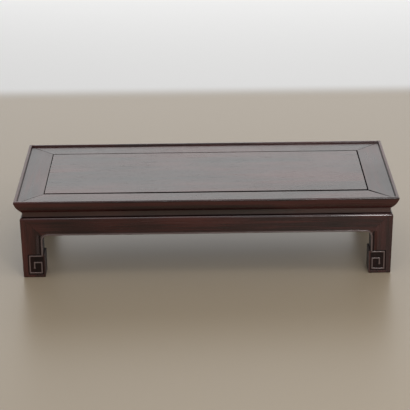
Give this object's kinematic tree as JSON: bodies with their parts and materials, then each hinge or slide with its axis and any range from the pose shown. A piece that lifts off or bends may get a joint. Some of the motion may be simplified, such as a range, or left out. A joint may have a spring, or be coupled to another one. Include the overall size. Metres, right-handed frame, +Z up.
{
  "type": "kang table",
  "caption": "Low rectangular table with a lipped frame-and-panel top, recessed waist, straight beaded aprons and square-scroll feet.",
  "frame": {"origin": "on the floor, under the middle of the table", "axes": "+X along the length, +Y from the front to the rear, +Z up"},
  "size_m": [1, 0.476, 0.217],
  "materials": {
    "top_frame": "dark red-brown rosewood, polished and waxed, lightly worn along the lip",
    "top_panel": "dark red-brown rosewood board, polished, fine streaked grain along the length",
    "aprons_and_waist": "dark red-brown rosewood, polished, redder than the legs",
    "legs": "dark red-brown rosewood, polished, darker in the carved grooves",
    "hidden_wood": "plain unpolished hardwood"
  },
  "bodies": {
    "root": {"front_rail": "top_frame", "rear_rail": "top_frame", "left_rail": "top_frame", "right_rail": "top_frame", "top_panel": "top_panel", "waist_front": "aprons_and_waist", "waist_rear": "aprons_and_waist", "waist_left": "aprons_and_waist", "waist_right": "aprons_and_waist", "apron_front": "aprons_and_waist", "apron_rear": "aprons_and_waist", "apron_left": "aprons_and_waist", "apron_right": "aprons_and_waist", "leg_front_left": "legs", "leg_front_right": "legs", "leg_rear_left": "legs", "leg_rear_right": "legs", "batten_left": "hidden_wood", "batten_middle": "hidden_wood", "batten_right": "hidden_wood", "key_front_left": "hidden_wood", "key_front_right": "hidden_wood", "key_rear_left": "hidden_wood", "key_rear_right": "hidden_wood", "key_left": "hidden_wood", "key_right": "hidden_wood"}
  },
  "joints": []
}
